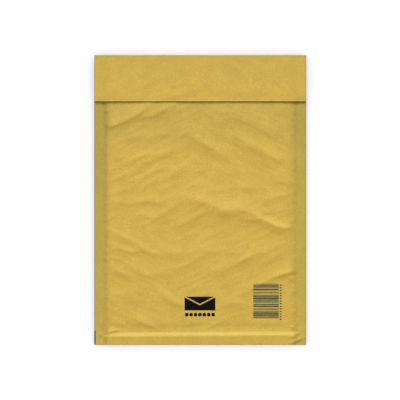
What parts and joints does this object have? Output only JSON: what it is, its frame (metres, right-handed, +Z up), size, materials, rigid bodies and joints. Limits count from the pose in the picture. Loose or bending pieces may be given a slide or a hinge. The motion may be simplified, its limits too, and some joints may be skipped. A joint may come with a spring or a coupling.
{
  "type": "bubble mailer",
  "caption": "Flat padded mailing envelope of golden brown paper with a bubble-film lining, flat side seams, a crumpled front and a folded-down self-seal flap.",
  "frame": {"origin": "middle of the footprint, on the surface that the back panel rests on", "axes": "+Y from the bottom fold to the top fold, +Z up out of the front panel, +X to the right across the side seams when the front is looked at with the flap at the top"},
  "size_m": [0.2, 0.2734, 0.009],
  "materials": {
    "brown_paper": "golden brown wrapping paper, matt with a faint sheen",
    "bubble_film": "clear polythene bubble film",
    "adhesive": "pale amber hot-melt adhesive",
    "release_paper": "off-white silicone-coated paper"
  },
  "bodies": {
    "root": {"paper_envelope": "brown_paper", "bubble_lining": "bubble_film", "adhesive_strip": "adhesive", "release_strip": "release_paper"}
  },
  "joints": []
}
